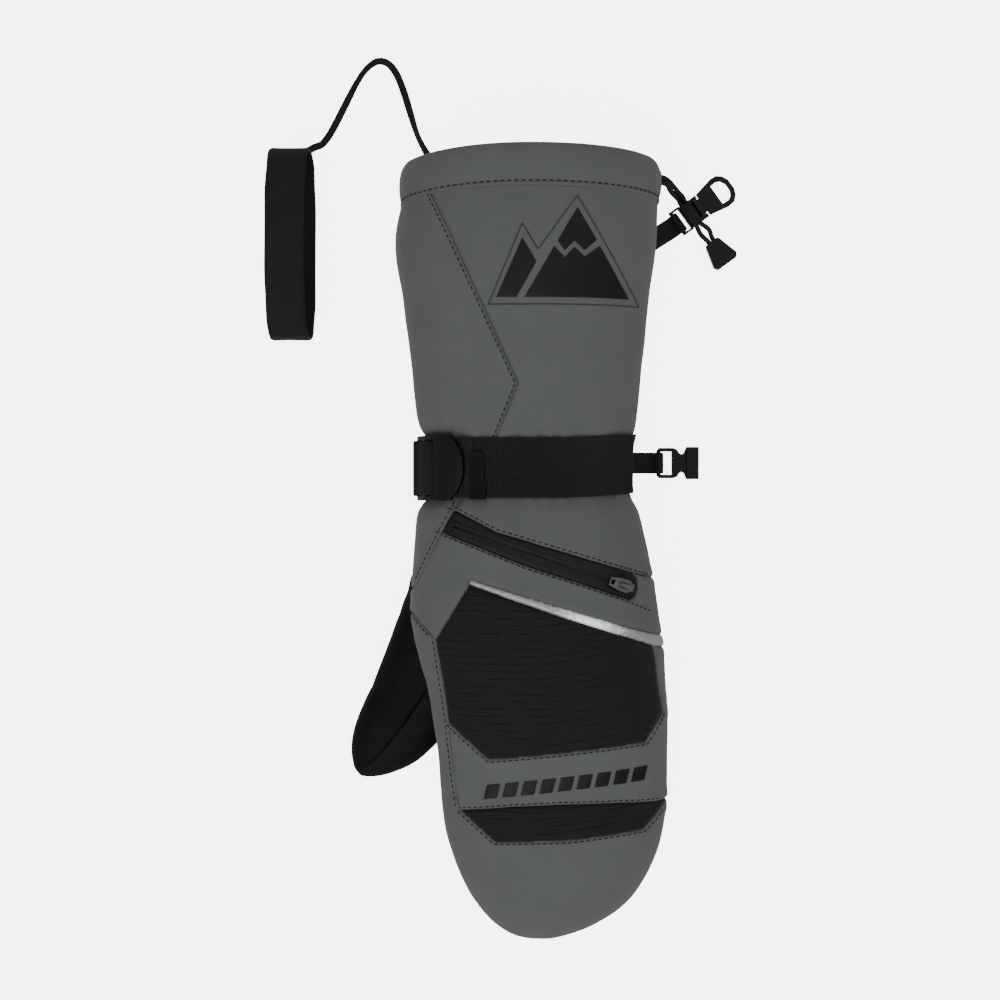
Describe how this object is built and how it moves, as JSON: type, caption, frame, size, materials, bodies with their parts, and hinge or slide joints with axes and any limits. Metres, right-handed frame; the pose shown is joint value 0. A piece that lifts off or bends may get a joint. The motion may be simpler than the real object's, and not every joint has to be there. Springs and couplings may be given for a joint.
{
  "type": "ski mitten",
  "caption": "Left-hand insulated ski mitten with a long gauntlet, wrist buckle, zipped back pocket, drawcord hem with a cord lock, clip and wrist leash.",
  "frame": {"origin": "on the flat underside of the palm patch, where the mitten rests, under the middle of the hand's heel", "axes": "+Z out of the back of the hand, +Y from the fingertips to the cuff, thumb on the -X side"},
  "size_m": [0.2287, 0.4303, 0.079],
  "materials": {
    "softshell": "matte",
    "black_fabric": "matte",
    "palm_leather": "satin",
    "webbing": "matte",
    "plastic": "satin",
    "reflective": "retroreflective",
    "zip_metal": "gunmetal",
    "fill": "matte",
    "film": "satin",
    "fleece": "matte",
    "elastic": "matte"
  },
  "bodies": {
    "mitten": {"back_panel": "softshell", "side_panel": "softshell", "middle_panel": "softshell", "finger_band": "softshell", "fingertip_panel": "softshell", "gauntlet_underside": "softshell", "hem_band": "softshell", "zip_tape_upper": "black_fabric", "zip_tape_lower": "black_fabric", "zip_coil_upper": "black_fabric", "zip_coil_lower": "black_fabric", "knuckle_panel": "black_fabric", "finger_patch": "black_fabric", "strap_end_tab": "black_fabric", "palm_panel": "palm_leather", "palm_patch": "palm_leather", "wrist_strap": "webbing", "strap_tail": "webbing", "buckle_anchor": "webbing", "clip_tab": "webbing", "lock_tab": "webbing", "lock_frame": "plastic", "reflective_strip": "reflective", "zip_stop": "zip_metal", "eyelet": "zip_metal", "lock_pin": "zip_metal", "insulation": "fill", "knuckle_foam": "fill", "membrane": "film", "lining": "fleece", "pocket_bag": "fleece", "drawcord": "elastic", "leash_strap": "elastic", "leash_loop": "elastic"},
    "thumb": {"thumb_outer_panel": "palm_leather", "thumb_inner_panel": "palm_leather", "thumb_insulation": "fill", "thumb_lining": "fleece"},
    "slider": {"zip_slider": "zip_metal"},
    "puller": {"zip_puller": "zip_metal"},
    "buckle": {"buckle_frame": "plastic", "strap_turn": "webbing"},
    "clip": {"clip_socket": "plastic"},
    "lever": {"lock_lever": "plastic"},
    "cord_pull": {"cord_tail_upper": "elastic", "cord_tail_lower": "elastic", "cord_end": "plastic"}
  },
  "joints": [
    {"name": "thumb_flex", "type": "hinge", "parent": "mitten", "child": "thumb", "pos_m": [-0.06, -0.018, 0.019], "axis": [0, 0, -1], "range_deg": [0, 14], "stiffness_Nm_per_rad": 0.08},
    {"name": "zip_slide", "type": "hinge", "parent": "mitten", "child": "slider", "pos_m": [-0.00282, -0.00688, -0.06289], "axis": [-0.3271, -0.945, 0], "range_deg": [0, 35]},
    {"name": "puller_flip", "type": "hinge", "parent": "slider", "child": "puller", "pos_m": [0.03803, -0.02103, 0.06102], "axis": [0.3271, 0.945, 0], "range_deg": [0, 150]},
    {"name": "buckle_tilt", "type": "hinge", "parent": "mitten", "child": "buckle", "pos_m": [-0.059, 0.034, 0.03487], "axis": [0, -1, 0], "range_deg": [0, 35]},
    {"name": "clip_swivel", "type": "hinge", "parent": "mitten", "child": "clip", "pos_m": [0.0575, 0.0372, 0.0033], "axis": [0, -1, 0], "range_deg": [0, 110]},
    {"name": "lock_lever_lift", "type": "hinge", "parent": "mitten", "child": "lever", "pos_m": [0.07736, 0.16288, 0.005], "axis": [0.5878, -0.809, 0], "range_deg": [0, 35], "stiffness_Nm_per_rad": 0.02},
    {"name": "cord_end_pull", "type": "slide", "parent": "mitten", "child": "cord_pull", "axis": [0.5878, -0.809, 0], "range_m": [0, 0.008]}
  ]
}
